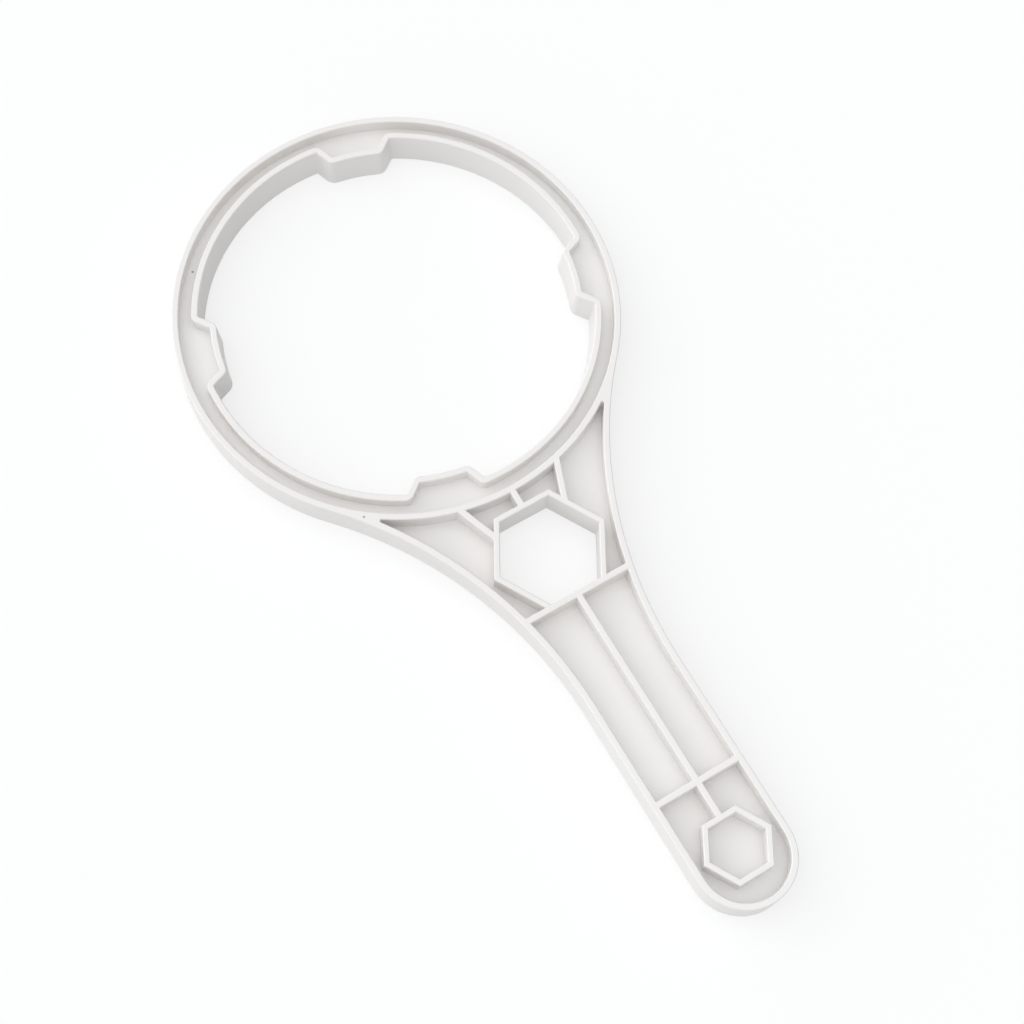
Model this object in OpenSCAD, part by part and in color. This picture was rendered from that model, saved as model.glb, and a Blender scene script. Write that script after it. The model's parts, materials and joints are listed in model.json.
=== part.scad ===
// Filter housing wrench, moulded in one piece: a lugged ring, a swept neck with a hexagonal socket
// and a ribbed handle with a smaller hexagon near its round end.
// The origin is the ring's centre on the resting face, +X runs along the handle and +Z is up.

/* [Ring] */
// Outside diameter of the ring
ring_d = 112; // [104:1:128]
// Width of the open channel between the ring's two walls
channel_w = 3.2; // [2.4:0.1:4.6]
// Depth of that channel from the top face
channel_depth = 3.6; // [2:0.1:4.8]
// How far the opening's wall leans inwards from the top face down to the resting face
opening_lean = 0.8; // [0:0.05:1.4]

/* [Walls] */
// Height of the ring and of the handle
height = 9; // [8.2:0.1:12]
// Thickness of the upright walls
wall = 1.6; // [1.2:0.1:2.2]
// Thickness of the web that closes the recesses half way up
web = 1.8; // [1.2:0.1:2.4]
// Thickness of the ribs
rib = 1.6; // [1.4:0.1:2.4]
// Width of the slant that softens every edge of the top and resting faces
edge = 0.2; // [0.1:0.05:0.45]

/* [Lugs] */
// Number of lugs around the opening
lug_count = 4; // [3:1:5]
// Turn of the lugs from the handle's centre line, in degrees
lug_turn = -16; // [-40:1:40]
// How far each lug stands into the opening
lug_depth = 4.5; // [3.5:0.1:6.5]
// Width across a lug's tip
lug_tip_w = 13.2; // [10:0.2:17]
// Slope of a lug's flanks from the radial direction, in degrees
lug_flank = 37; // [25:1:45]
// Corner radius at a lug's root, on the side of the opening
lug_root_r = 0.6; // [0.3:0.1:1.2]
// Corner radius inside a lug's tip, on the side of the channel
lug_tip_inner_r = 0.3; // [0.2:0.1:0.8]

/* [Handle] */
// Reach of the handle from the ring's centre to its round end
reach = 170.2; // [166:0.2:190]
// Width of the handle
handle_w = 24.8; // [22:0.2:30]
// Radius of the sweep from the ring into the handle
flare_r = 108; // [90:1:130]
// Depth of the recesses in the neck and the handle, from the top face
pocket_depth = 4.9; // [3:0.1:5.4]
// Distance of the far cross rib from the ring's centre
cross_x = 138.2; // [112:0.2:142]

/* [Hexagons] */
// Size across the flats of the large hexagonal hole
large_af = 24; // [19:0.5:25]
// Distance of the large hexagon from the ring's centre
large_x = 73.2; // [72:0.2:84]
// Size across the flats of the small hexagonal socket
small_af = 13.2; // [10:0.2:15]
// Distance of the small hexagon from the ring's centre
small_x = 155.2; // [150:0.2:156]
// Thickness of the walls around the hexagons
hex_wall = 1.4; // [1:0.1:2]

/* [Neck] */
// Distance between the two slanting neck ribs where they leave the ring
neck_rib_gap = 26.8; // [20:0.2:32]
// Slant of those ribs from the handle's centre line, in degrees
neck_rib_turn = 20.5; // [12:0.5:28]
// Radius of the narrow ends of the two side recesses
neck_tip_r = 0.4; // [0.2:0.1:1]

/* [Hidden] */
$fn = 96;
reach_past = 1;
edge_past = 0.12;
cut_past = 0.05;
blend = 0.004;
arc_steps = 6;
arc_past = 0.2;
rib_proud = 0.15;
ring_r = ring_d / 2;
channel_r = ring_r - wall;
inner_wall_r = channel_r - channel_w;
bore_r = inner_wall_r - wall;
tip_r = bore_r - lug_depth;
half_w = handle_w / 2;
end_x = reach - half_w;
flare_y = half_w + flare_r;
flare_x = sqrt(pow(ring_r + flare_r, 2) - pow(flare_y, 2));
flare_dir = [flare_x, flare_y] / (ring_r + flare_r);
near_cross_x = large_x + large_af / 2 + hex_wall + rib_proud - rib / 2;
neck_rib_x = sqrt(pow(ring_r, 2) - pow(neck_rib_gap / 2, 2));
under_channel = height - channel_depth - web;
under_pocket = height - pocket_depth - web;
tip_a = ring_r + neck_tip_r;
tip_b = flare_r + wall + neck_tip_r;
tip_along = (tip_a * tip_a - tip_b * tip_b + pow(ring_r + flare_r, 2)) / (2 * (ring_r + flare_r));
tip_across = sqrt(tip_a * tip_a - tip_along * tip_along);
flare_side = [flare_dir[1], -flare_dir[0]];
neck_tip = flare_dir * tip_along + flare_side * tip_across;
side_in = [cos(lug_flank), sin(lug_flank)];
side_out = [-sin(lug_flank), cos(lug_flank)];
tip_corner = [sqrt(pow(tip_r, 2) - pow(lug_tip_w / 2, 2)), lug_tip_w / 2];
// Heights at which a face of the body, a recess in the top face and a recess in the resting face bend,
// and how far each is wider there
body_z = [0, edge, height - edge, height];
body_s = [-edge, 0, 0, -edge];
hole_z = [-edge_past, edge, height - edge, height + edge_past];
hole_s = [edge + edge_past, 0, 0, edge + edge_past];
top_s = [0, 0, edge + edge_past];
foot_s = [edge + edge_past, 0, 0];

// Distance along a line through p in direction d at which it comes to radius r
function run_to(p, d, r) = -(p * d) + sqrt(pow(p * d, 2) - p * p + r * r);

// Mirror image of a point across the lug's own centre line
function over(p) = [p[0], -p[1]];

// The point p turned around the origin by the angle a
function turned(p, a) = [p[0] * cos(a) - p[1] * sin(a), p[0] * sin(a) + p[1] * cos(a)];

// Points along an arc of radius r around c, from angle a to angle b
function arc(c, r, a, b) =
    [for (i = [0:arc_steps]) c + r * [cos(a + (b - a) * i / arc_steps), sin(a + (b - a) * i / arc_steps)]];

// The point q carried a little further on the line from p
function past(p, q) = q + (q - p) * arc_past / norm(q - p);

// The values v with the same added to each of them
function plus(v, a) = [for (x = v) x + a];

// Heights of a recess that runs from its floor to beyond the top face
function from_floor(floor_z) = [floor_z, height - edge, height + edge_past];

// Heights of a recess that runs from beyond the resting face to its ceiling
function to_ceiling(ceiling_z) = [-edge_past, edge, ceiling_z];

// The heights z with the first and the last moved outwards by cut_past
function longer(z) =
    [for (i = [0:len(z) - 1]) i == 0 ? z[i] - cut_past : i == len(z) - 1 ? z[i] + cut_past : z[i]];

// The values v at the heights z, carried on in straight lines as far as longer() carries z
function onward(z, v) =
    let (n = len(z) - 1)
    [for (i = [0:n])
        i == 0 ? v[0] - (v[1] - v[0]) * cut_past / (z[1] - z[0])
        : i == n ? v[n] + (v[n] - v[n - 1]) * cut_past / (z[n] - z[n - 1])
        : v[i]];

// Shift of the leaning wall's face at the heights z, which is 0 at the top face
function lean(z) = [for (h = z) opening_lean * (h / height - 1)];

// Outline of one lug on the +X side, from its root to the middle of its tip, drawn back by o from the
// opening; root_r is the radius of the hollow corner at its root
function lug_half(o, root_r) =
    let (
        base = bore_r + o,
        tip = tip_r + o,
        nose_r = lug_tip_inner_r + wall - o,
        start = tip_corner - o * side_out,
        a = start + root_r * side_out,
        b = start - nose_r * side_out,
        root = a + run_to(a, side_in, base - root_r) * side_in,
        nose = b + run_to(b, side_in, tip + nose_r) * side_in,
        hollow = arc(root, root_r, atan2(root[1], root[0]), lug_flank - 90),
        round = arc(nose, nose_r, lug_flank + 90, 180 + atan2(nose[1], nose[0]))
    )
    concat(
        [root * (base + lug_depth) / norm(root), past(hollow[1], hollow[0])],
        [for (i = [1:arc_steps]) hollow[i]],
        [for (i = [0:arc_steps - 1]) round[i]],
        [past(round[arc_steps - 1], round[arc_steps]), nose * (tip - reach_past) / norm(nose)]
    );

// Outline of a whole lug
function lug_outline(o, root_r) =
    let (h = lug_half(o, root_r))
    concat(h, [for (i = [len(h) - 1:-1:0]) over(h[i])]);

// Outline of the neck's slanting rib on one side, which is h wide to each side of its middle
function neck_rib_outline(side, h) =
    let (far = large_x - neck_rib_x - wall)
    [for (p = [[-wall, h], [-wall, -h], [far, -h], [far, h]])
        [neck_rib_x, side * neck_rib_gap / 2] + turned(p, -side * neck_rib_turn)];

// Half of a profile: distance d from the middle, wider by s at each of the heights z
function half_profile(d, z, s) = [for (i = [0:len(z) - 1]) [d + s[i], z[i]]];

// A round block of radius r, wider by s at each of the heights z
module round_block(r, z, s) {
    rotate_extrude()
        polygon(concat([[0, z[0]]], half_profile(r, z, s), [[0, z[len(z) - 1]]]));
}

// A straight block of length l along +X and width w, wider by s on both sides
module bar_block(l, w, z, s) {
    h = half_profile(w / 2, z, s);
    rotate([90, 0, 90])
        linear_extrude(l)
            polygon(concat(h, [for (i = [len(h) - 1:-1:0]) [-h[i][0], h[i][1]]]));
}

// A block that has one of the outlines at each of the heights z, with flat faces from one to the next
module layered_block(z, outlines) {
    n = len(outlines[0]);
    m = len(z);
    polyhedron(
        points = [for (k = [0:m - 1], p = outlines[k]) [p[0], p[1], z[k]]],
        faces = concat(
            [[for (i = [0:n - 1]) i], [for (i = [n - 1:-1:0]) (m - 1) * n + i]],
            [for (k = [n:n:(m - 1) * n], i = [0:n - 1]) [k + i, k + (i + 1) % n, k - n + (i + 1) % n]],
            [for (k = [n:n:(m - 1) * n], i = [0:n - 1]) [k + i, k - n + (i + 1) % n, k - n + i]]
        )
    );
}

// A hexagonal block with two flats across the handle, wider by s on every side
module hexagon_block(x, af, z, s) {
    layered_block(z, [
        for (w = s)
            [for (a = [30:60:330]) [x, 0] + (af / 2 + w) / cos(30) * [cos(a), sin(a)]]
    ]);
}

// One lug at the angle a, drawn back by o from the opening at each of the heights z, with hollow corners
// of radius root
module lug(a, z, o, root) {
    difference() {
        layered_block(z, [
            for (i = [0:len(z) - 1])
                [for (p = lug_outline(o[i], root[i])) turned(p, a)]
        ]);
        round_block(tip_r, longer(z), onward(z, o));
    }
}

// The space inside the ring's lugged wall, which stands back by o from the opening
module lugged_block(z, o, root) {
    difference() {
        round_block(bore_r, z, o);
        for (i = [0:lug_count - 1])
            lug(lug_turn + i * 360 / lug_count, longer(z), onward(z, o), onward(z, root));
    }
}

// The channel of the ring, wider by s; its lugged wall leans in by in from the one at the top face
module channel(z, s, in) {
    o = plus(-s, wall + in);
    difference() {
        round_block(channel_r, z, s);
        lugged_block(longer(z), onward(z, o), onward(z, plus(o, lug_root_r)));
    }
}

// The neck between the ring and the handle's straight part, drawn in by i along its sweeps and wider by s
module neck_block(i, z, s) {
    c = flare_dir * (ring_r + 2 * wall + 4);
    difference() {
        translate([0, 0, z[0]])
            linear_extrude(z[len(z) - 1] - z[0])
                polygon([[0, 0], c, [flare_x, flare_y / 3], [flare_x, -flare_y / 3], over(c)]);
        for (side = [1, -1])
            translate([flare_x, side * flare_y, 0])
                round_block(flare_r + i + blend, longer(z), -onward(z, s));
    }
}

// The neck, the straight part and the round end of the handle, drawn in by i and wider by s
module handle_block(i, z, s) {
    neck_block(i, z, s);
    translate([large_x, 0, 0])
        bar_block(end_x - large_x, handle_w - 2 * i, z, s);
    translate([end_x, 0, 0])
        round_block(half_w - i, z, s);
}

// The outline of the whole wrench as a block, wider by s
module outline_block(z, s) {
    round_block(ring_r, z, s);
    handle_block(0, z, s);
}

// The solid end beyond a side recess's narrow end, which is wider by s
module neck_tip_block(z, s) {
    out = [flare_x, flare_y] - neck_tip;
    difference() {
        translate([0, 0, z[0]])
            linear_extrude(z[len(z) - 1] - z[0])
                polygon([
                    neck_tip,
                    neck_tip * (ring_r - wall / 2) / norm(neck_tip),
                    flare_dir * ring_r,
                    neck_tip + out * (neck_tip_r + wall / 2) / norm(out)
                ]);
        translate(neck_tip)
            round_block(neck_tip_r + blend, longer(z), onward(z, s));
    }
}

// The ribs of the neck and the handle, wider by s on both sides
module ribs(z, s) {
    for (x = [near_cross_x, cross_x])
        translate([x, -ring_r, 0])
            rotate(90)
                bar_block(ring_d, rib, z, s);
    translate([large_x, 0, 0])
        bar_block(small_x - large_x, rib, z, s);
    translate([ring_r - wall, 0, 0])
        bar_block(large_x - ring_r, rib, z, s);
    for (side = [1, -1])
        layered_block(z, [for (w = s) neck_rib_outline(side, rib / 2 + w)]);
}

// The recesses between the walls and the ribs, wider by s
module recesses(z, s) {
    zc = longer(z);
    sc = onward(z, s);
    difference() {
        handle_block(wall, z, s);
        round_block(ring_r, zc, -sc);
        hexagon_block(large_x, large_af + 2 * hex_wall, zc, -sc);
        hexagon_block(small_x, small_af + 2 * hex_wall, zc, -sc);
        ribs(zc, -sc);
        neck_tip_block(zc, sc);
        mirror([0, 1, 0])
            neck_tip_block(zc, sc);
    }
    hexagon_block(small_x, small_af, z, s);
}

// The whole wrench
module wrench() {
    under = lean([under_channel])[0];
    color("WhiteSmoke")
        difference() {
            outline_block(body_z, body_s);
            lugged_block(hole_z, lean(hole_z) + hole_s, plus(hole_s, lug_root_r));
            hexagon_block(large_x, large_af, hole_z, hole_s);
            channel(from_floor(height - channel_depth), top_s, 0);
            channel(to_ceiling(under_channel), foot_s, under);
            recesses(from_floor(height - pocket_depth), top_s);
            recesses(to_ceiling(under_pocket), foot_s);
        }
}

wrench();
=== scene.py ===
"""Looks of the filter housing wrench: the moulding, its white plastic, a pale table and soft light."""

import json
import math

import bpy
from mathutils import Matrix, Vector

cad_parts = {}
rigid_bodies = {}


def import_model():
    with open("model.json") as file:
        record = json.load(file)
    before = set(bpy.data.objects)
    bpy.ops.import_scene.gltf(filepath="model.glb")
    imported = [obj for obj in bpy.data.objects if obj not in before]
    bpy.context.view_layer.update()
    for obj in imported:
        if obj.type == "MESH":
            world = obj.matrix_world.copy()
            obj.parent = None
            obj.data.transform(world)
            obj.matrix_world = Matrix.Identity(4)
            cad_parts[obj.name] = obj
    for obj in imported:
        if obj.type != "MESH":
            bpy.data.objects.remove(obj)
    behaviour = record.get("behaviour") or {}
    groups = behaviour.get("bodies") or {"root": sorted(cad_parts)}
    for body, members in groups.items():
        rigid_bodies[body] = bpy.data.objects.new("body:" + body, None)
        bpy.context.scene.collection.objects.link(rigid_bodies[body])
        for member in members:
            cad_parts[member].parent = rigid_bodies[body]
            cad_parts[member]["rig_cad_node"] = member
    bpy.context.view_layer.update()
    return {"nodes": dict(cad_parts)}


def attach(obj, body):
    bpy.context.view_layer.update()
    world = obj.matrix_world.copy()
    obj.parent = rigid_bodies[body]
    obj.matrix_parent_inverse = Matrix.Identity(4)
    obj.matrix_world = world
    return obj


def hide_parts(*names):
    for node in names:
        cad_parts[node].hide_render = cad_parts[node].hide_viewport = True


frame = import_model()

bl_info = {
    "name": "Filter housing wrench",
    "version": (1, 0, 0),
    "blender": (4, 5, 0),
    "location": "3D View > Sidebar > Wrench",
    "description": "Builds the moulded wrench, its plastic and its table",
    "category": "Object",
}

MM = 0.001

# Corners of the CAD mesh that lie closer than this become one, and edges that turn more are sharp.
WELD_GAP = 0.002 * MM
SHARP_TURN = math.radians(30)
# How strongly the larger face leads the shading where two meet, up to 100.
FLAT_WEIGHT = 100

# Polypropylene's index of refraction, and the roughness of its satin in the hollows and on the
# peaks of the grain.
PLASTIC_IOR = 1.49
SATIN_LOW, SATIN_HIGH = 0.34, 0.43
# Bump of the grain and of the ripple, as height and strength.
GRAIN_HEIGHT, GRAIN_STRENGTH = 0.01 * MM, 0.12
RIPPLE_HEIGHT, RIPPLE_STRENGTH = 0.05 * MM, 0.25
# Spacing of the slow drift between the plastic's two whites.
FLOW_SPACING = 25 * MM
# The noise values at which the drift and the satin reach their two ends.
FLOW_SPAN = (0.35, 0.65)
GRAIN_SPAN = (0.3, 0.7)

# Dark specks in the plastic, as x, y, z and radius in mm: one on the channel's floor, one on the rim.
SPECKS = [(-36.1, -38.9, 5.4, 0.45), (44.0, -34.45, 9.0, 0.4)]
# Share of a speck's radius over which it is darkest, and how far it covers the white there.
SPECK_CORE = 0.4
SPECK_COVER = 0.85

TABLE_SIZE = 6
TABLE_MIDDLE = (0.05, 0, 0)
# Shares of the table's colour: what it scatters towards the camera, what it glows by there, and
# what it scatters back up onto the wrench's sides.
TABLE_SEEN = 0.36
TABLE_GLOW = 0.614
TABLE_BOUNCED = (0.65, 0.65, 0.64)

# Walls of the light tent, as the direction towards each and its strength: overhead, low ones round
# the picture's left side and below it, and a high one on the right.
TENT = (
    ((0, 0, 1), 1.62),
    ((-0.97, -0.24, 0.15), 1.76),
    ((-0.51, -0.86, 0.15), 1.49),
    ((0.24, -0.97, 0.15), 0.28),
    ((0.86, -0.51, 0.15), 1.13),
    ((0.51, 0.86, 0.9), 0.42),
)
# How closely each wall's glow gathers around its direction, as a power of the cosine.
TENT_FOCUS = 4.0

SENSOR_WIDTH = 36
CLIP_START = 0.01


def linear(hex_code):
    """An sRGB hex colour as linear red, green and blue."""
    parts = [int(hex_code[i:i + 2], 16) / 255 for i in (1, 3, 5)]
    return tuple(c / 12.92 if c <= 0.04045 else ((c + 0.055) / 1.055) ** 2.4 for c in parts)


def add(tree, kind, settings=None, inputs=None, links=None):
    """Adds one node with its settings, its input values and its links from other nodes' outputs."""
    node = tree.nodes.new(kind)
    for name, value in (settings or {}).items():
        setattr(node, name, value)
    for name, value in (inputs or {}).items():
        node.inputs[name].default_value = value
    for name, source in (links or {}).items():
        tree.links.new(source, node.inputs[name])
    return node


class WrenchSizes(bpy.types.PropertyGroup):
    """Sizes of the moulding's finish."""

    grain: bpy.props.FloatProperty(
        name="Grain", description="Spacing of the mould's fine satin grain",
        default=0.22 * MM, min=0.05 * MM, max=2 * MM, unit="LENGTH")
    ripple: bpy.props.FloatProperty(
        name="Ripple", description="Spacing of the faint waviness that shrinkage leaves in flat faces",
        default=14 * MM, min=2 * MM, max=60 * MM, unit="LENGTH")


class WrenchColours(bpy.types.PropertyGroup):
    """Colours of the plastic, of the specks in it, of the table and of the light."""

    plastic: bpy.props.FloatVectorProperty(
        name="Plastic", description="White of the moulding",
        subtype="COLOR", size=3, default=linear("#ECEAE8"))
    shade: bpy.props.FloatVectorProperty(
        name="Shade", description="Slightly warmer white that the plastic drifts to",
        subtype="COLOR", size=3, default=linear("#EBE8E5"))
    speck: bpy.props.FloatVectorProperty(
        name="Speck", description="Dark specks in the plastic",
        subtype="COLOR", size=3, default=linear("#8F8A85"))
    table: bpy.props.FloatVectorProperty(
        name="Table", description="White table top",
        subtype="COLOR", size=3, default=linear("#FFFFFF"))
    light: bpy.props.FloatVectorProperty(
        name="Light", description="Slightly cool white of the light",
        subtype="COLOR", size=3, default=(0.976, 0.988, 1.0))


class WrenchView(bpy.types.PropertyGroup):
    """Where the camera stands."""

    azimuth: bpy.props.FloatProperty(
        name="Azimuth", description="Turn of the camera round the wrench",
        default=math.radians(50.841), subtype="ANGLE")
    elevation: bpy.props.FloatProperty(
        name="Elevation", description="Height of the camera over the table",
        default=math.radians(69.156), subtype="ANGLE")
    roll: bpy.props.FloatProperty(
        name="Roll", description="Turn of the camera about its own line of sight",
        default=math.radians(8.736), subtype="ANGLE")
    distance: bpy.props.FloatProperty(
        name="Distance", description="From the aim point to the camera",
        default=451.8 * MM, unit="LENGTH")
    aim: bpy.props.FloatVectorProperty(
        name="Aim", description="Point on the table in the middle of the picture", size=3,
        default=(57.88 * MM, -0.9 * MM, 0), subtype="TRANSLATION", unit="LENGTH")
    lens: bpy.props.FloatProperty(
        name="Lens", description="Focal length on a sensor 36 mm wide",
        default=64.69, subtype="DISTANCE_CAMERA")


def moulded_plastic(sizes, colours):
    """White polypropylene, injection moulded in a finely blasted mould.

    To the eye: a satin, slightly warm white, thin bright lines along the slanted edges, faint
    waviness in the flat faces and two dark specks in the surface.
    """
    material = bpy.data.materials.new("moulded_white_polypropylene")
    material.use_nodes = True
    tree = material.node_tree
    shader = tree.nodes["Principled BSDF"]
    shader.inputs["IOR"].default_value = PLASTIC_IOR
    place = add(tree, "ShaderNodeTexCoord").outputs["Object"]
    # Slow drift between two whites, from the melt's flow.
    flow = add(
        tree, "ShaderNodeTexNoise",
        inputs={"Scale": 1 / FLOW_SPACING, "Detail": 2.0}, links={"Vector": place})
    drift = add(
        tree, "ShaderNodeMapRange",
        inputs={"From Min": FLOW_SPAN[0], "From Max": FLOW_SPAN[1]},
        links={"Value": flow.outputs["Fac"]})
    white = add(
        tree, "ShaderNodeMix", settings={"data_type": "RGBA"},
        links={"Factor": drift.outputs["Result"]})
    white.inputs["A"].default_value = (*colours.plastic, 1)
    white.inputs["B"].default_value = (*colours.shade, 1)
    last = white.outputs["Result"]
    # Specks of charred plastic, darkest in the middle.
    for x, y, z, radius in SPECKS:
        away = add(
            tree, "ShaderNodeVectorMath", settings={"operation": "DISTANCE"}, links={0: place})
        away.inputs[1].default_value = (x * MM, y * MM, z * MM)
        inside = add(
            tree, "ShaderNodeMapRange",
            inputs={
                "From Min": SPECK_CORE * radius * MM, "From Max": radius * MM,
                "To Min": SPECK_COVER, "To Max": 0.0},
            links={"Value": away.outputs["Value"]})
        spot = add(
            tree, "ShaderNodeMix", settings={"data_type": "RGBA"},
            links={"Factor": inside.outputs["Result"], "A": last})
        spot.inputs["B"].default_value = (*colours.speck, 1)
        last = spot.outputs["Result"]
    tree.links.new(last, shader.inputs["Base Color"])
    # Blasted grain and, much wider, the shrinkage ripple, both as bump. A real grain is finer: this
    # one is drawn about a pixel wide, as coarse as it needs to be to show.
    grain = add(
        tree, "ShaderNodeTexNoise",
        inputs={"Scale": 1 / sizes.grain, "Detail": 3.0}, links={"Vector": place})
    ripple = add(
        tree, "ShaderNodeTexNoise",
        inputs={"Scale": 1 / sizes.ripple, "Detail": 1.0}, links={"Vector": place})
    satin = add(
        tree, "ShaderNodeMapRange",
        inputs={
            "From Min": GRAIN_SPAN[0], "From Max": GRAIN_SPAN[1],
            "To Min": SATIN_LOW, "To Max": SATIN_HIGH},
        links={"Value": grain.outputs["Fac"]})
    tree.links.new(satin.outputs["Result"], shader.inputs["Roughness"])
    waves = add(
        tree, "ShaderNodeBump",
        inputs={"Strength": RIPPLE_STRENGTH, "Distance": RIPPLE_HEIGHT},
        links={"Height": ripple.outputs["Fac"]})
    fine = add(
        tree, "ShaderNodeBump",
        inputs={"Strength": GRAIN_STRENGTH, "Distance": GRAIN_HEIGHT},
        links={"Height": grain.outputs["Fac"], "Normal": waves.outputs["Normal"]})
    tree.links.new(fine.outputs["Normal"], shader.inputs["Normal"])
    return material


def table_top(colours):
    """White table paint, plain and matt.

    To the eye: an even white that keeps the wrench's soft shadow. The camera sees it brighter than
    it lights the wrench's sides.
    """
    material = bpy.data.materials.new("matt_white_table_paint")
    material.use_nodes = True
    tree = material.node_tree
    tree.nodes.remove(tree.nodes["Principled BSDF"])
    seen = add(
        tree, "ShaderNodeBsdfDiffuse",
        inputs={"Color": (*(TABLE_SEEN * c for c in colours.table), 1)})
    lift = add(
        tree, "ShaderNodeEmission",
        inputs={"Color": (*colours.table, 1), "Strength": TABLE_GLOW})
    bright = add(tree, "ShaderNodeAddShader", links={0: seen.outputs[0], 1: lift.outputs[0]})
    bounced = add(
        tree, "ShaderNodeBsdfDiffuse",
        inputs={"Color": (*(share * c for share, c in zip(TABLE_BOUNCED, colours.table)), 1)})
    path = add(tree, "ShaderNodeLightPath")
    direct = add(
        tree, "ShaderNodeMath", settings={"operation": "MAXIMUM"},
        links={0: path.outputs["Is Camera Ray"], 1: path.outputs["Is Glossy Ray"]})
    chosen = add(
        tree, "ShaderNodeMixShader",
        links={0: direct.outputs[0], 1: bounced.outputs[0], 2: bright.outputs[0]})
    tree.links.new(chosen.outputs[0], tree.nodes["Material Output"].inputs["Surface"])
    return material


def light_tent(colours):
    """The world's light: each wall of the tent glows softly around one direction, and they add up."""
    world = bpy.data.worlds.new("light_tent")
    world.use_nodes = True
    tree = world.node_tree
    look = add(tree, "ShaderNodeTexCoord").outputs["Generated"]
    total = None
    for direction, strength in TENT:
        toward = add(
            tree, "ShaderNodeVectorMath", settings={"operation": "DOT_PRODUCT"}, links={0: look})
        toward.inputs[1].default_value = Vector(direction).normalized()
        front = add(
            tree, "ShaderNodeMath", settings={"operation": "MAXIMUM"}, inputs={1: 0.0},
            links={0: toward.outputs["Value"]})
        falloff = add(
            tree, "ShaderNodeMath", settings={"operation": "POWER"}, inputs={1: TENT_FOCUS},
            links={0: front.outputs[0]})
        glow = add(
            tree, "ShaderNodeMath", settings={"operation": "MULTIPLY_ADD"},
            inputs={1: strength, 2: 0.0}, links={0: falloff.outputs[0]})
        if total is not None:
            tree.links.new(total, glow.inputs[2])
        total = glow.outputs[0]
    background = tree.nodes["Background"]
    background.inputs["Color"].default_value = (*colours.light, 1)
    tree.links.new(total, background.inputs["Strength"])
    return world


def photo_camera(view):
    """The camera at the photograph's angle, turned about its own line of sight by the roll."""
    lens = bpy.data.cameras.new("photo_camera")
    lens.sensor_width = SENSOR_WIDTH
    lens.lens = view.lens
    lens.clip_start = CLIP_START
    camera = bpy.data.objects.new("photo_camera", lens)
    a, e, r = view.azimuth, view.elevation, view.roll
    back = Vector((math.sin(a) * math.cos(e), -math.cos(a) * math.cos(e), math.sin(e)))
    right = Vector((math.cos(a), math.sin(a), 0))
    up = back.cross(right)
    across = math.cos(r) * right + math.sin(r) * up
    upright = math.cos(r) * up - math.sin(r) * right
    turn = Matrix((across, upright, back)).transposed().to_4x4()
    camera.matrix_world = Matrix.Translation(Vector(view.aim) + back * view.distance) @ turn
    return camera


class WRENCH_OT_moulding(bpy.types.Operator):
    """Make the wrench's moulding from the frame and give it its plastic"""

    bl_idname = "wrench.moulding"
    bl_label = "Moulding"

    def execute(self, context):
        scene = context.scene
        bpy.ops.object.select_all(action="DESELECT")
        node = frame["nodes"]["wrench"]
        node.select_set(True)
        context.view_layer.objects.active = node
        bpy.ops.object.duplicate()
        body = context.active_object
        body.name = "wrench_moulding"
        del body["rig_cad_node"]
        # The CAD mesh's own normals go, and its sharp edges are marked, so that flat faces stay flat.
        bpy.ops.object.mode_set(mode="EDIT")
        bpy.ops.mesh.select_all(action="SELECT")
        bpy.ops.mesh.remove_doubles(threshold=WELD_GAP)
        bpy.ops.mesh.customdata_custom_splitnormals_clear()
        bpy.ops.mesh.select_all(action="DESELECT")
        bpy.ops.mesh.edges_select_sharp(sharpness=SHARP_TURN)
        bpy.ops.mesh.mark_sharp()
        bpy.ops.object.mode_set(mode="OBJECT")
        bpy.ops.object.shade_smooth(keep_sharp_edges=True)
        flats = body.modifiers.new("flats", "WEIGHTED_NORMAL")
        flats.keep_sharp = True
        flats.weight = FLAT_WEIGHT
        bpy.ops.object.modifier_apply(modifier="flats")
        body.data.materials.clear()
        body.data.materials.append(moulded_plastic(scene.wrench_sizes, scene.wrench_colours))
        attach(body, "root")
        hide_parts("wrench")
        return {"FINISHED"}


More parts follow.
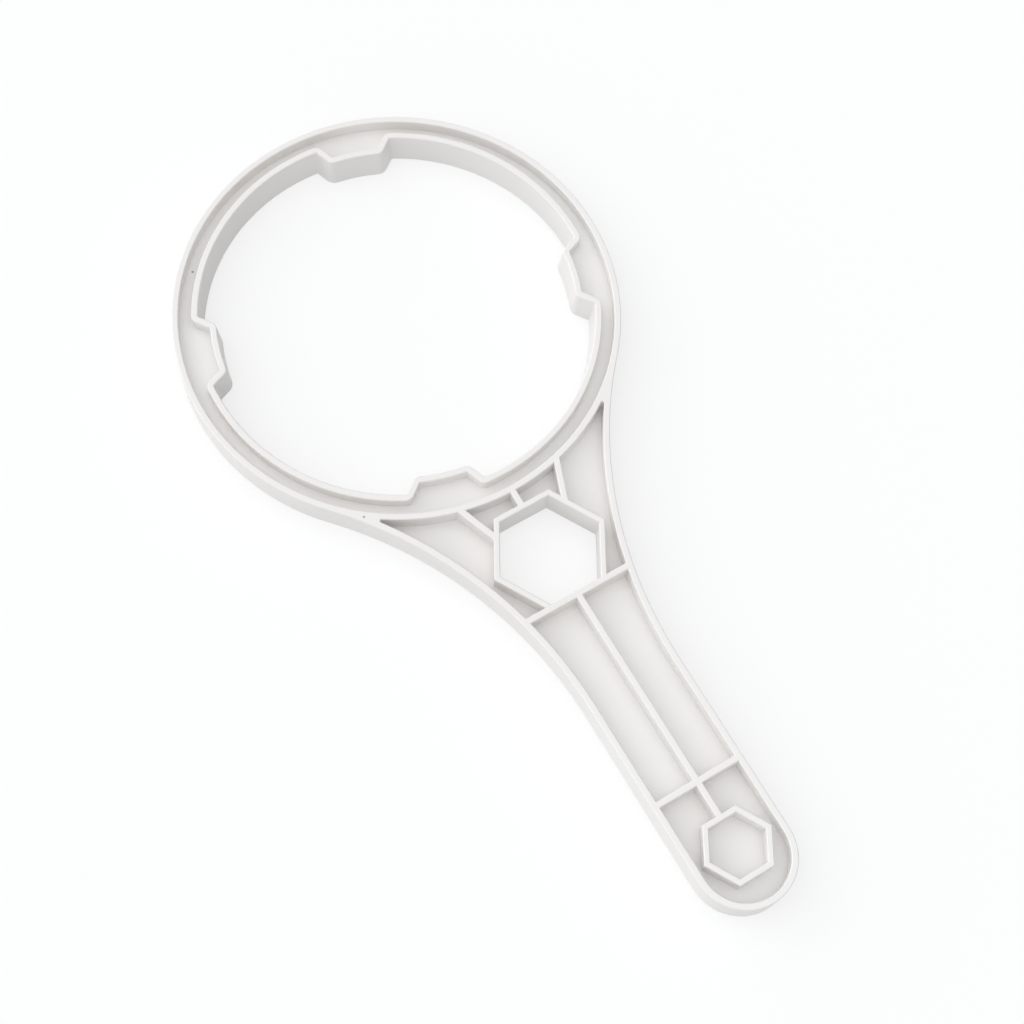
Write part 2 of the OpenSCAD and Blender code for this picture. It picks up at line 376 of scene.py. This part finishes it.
class WRENCH_OT_stage(bpy.types.Operator):
    """Set the pale table, the soft light and the camera"""

    bl_idname = "wrench.stage"
    bl_label = "Stage"

    def execute(self, context):
        scene = context.scene
        bpy.ops.object.select_all(action="DESELECT")
        bpy.ops.mesh.primitive_plane_add(size=TABLE_SIZE, location=TABLE_MIDDLE)
        table = context.active_object
        table.name = "table"
        bpy.ops.object.transform_apply(location=True)
        table.data.materials.append(table_top(scene.wrench_colours))

        scene.world = light_tent(scene.wrench_colours)
        camera = photo_camera(scene.wrench_view)
        scene.collection.objects.link(camera)
        scene.camera = camera
        scene.view_settings.view_transform = "Standard"
        return {"FINISHED"}


class WRENCH_PT_panel(bpy.types.Panel):
    """Lists the wrench's sizes, colours, view and steps"""

    bl_idname = "WRENCH_PT_panel"
    bl_label = "Filter housing wrench"
    bl_space_type = "VIEW_3D"
    bl_region_type = "UI"
    bl_category = "Wrench"

    def draw(self, context):
        scene = context.scene
        for group in (scene.wrench_sizes, scene.wrench_colours, scene.wrench_view):
            box = self.layout.box()
            for name in group.bl_rna.properties.keys():
                if name not in {"rna_type", "name"}:
                    box.prop(group, name)
        for step in (WRENCH_OT_moulding, WRENCH_OT_stage):
            self.layout.operator(step.bl_idname)


classes = (
    WrenchSizes,
    WrenchColours,
    WrenchView,
    WRENCH_OT_moulding,
    WRENCH_OT_stage,
    WRENCH_PT_panel,
)


def register():
    for cls in classes:
        bpy.utils.register_class(cls)
    bpy.types.Scene.wrench_sizes = bpy.props.PointerProperty(type=WrenchSizes)
    bpy.types.Scene.wrench_colours = bpy.props.PointerProperty(type=WrenchColours)
    bpy.types.Scene.wrench_view = bpy.props.PointerProperty(type=WrenchView)


def unregister():
    del bpy.types.Scene.wrench_view
    del bpy.types.Scene.wrench_colours
    del bpy.types.Scene.wrench_sizes
    for cls in reversed(classes):
        bpy.utils.unregister_class(cls)


def main():
    register()
    bpy.ops.wrench.moulding()
    bpy.ops.wrench.stage()


if __name__ == "__main__":
    main()
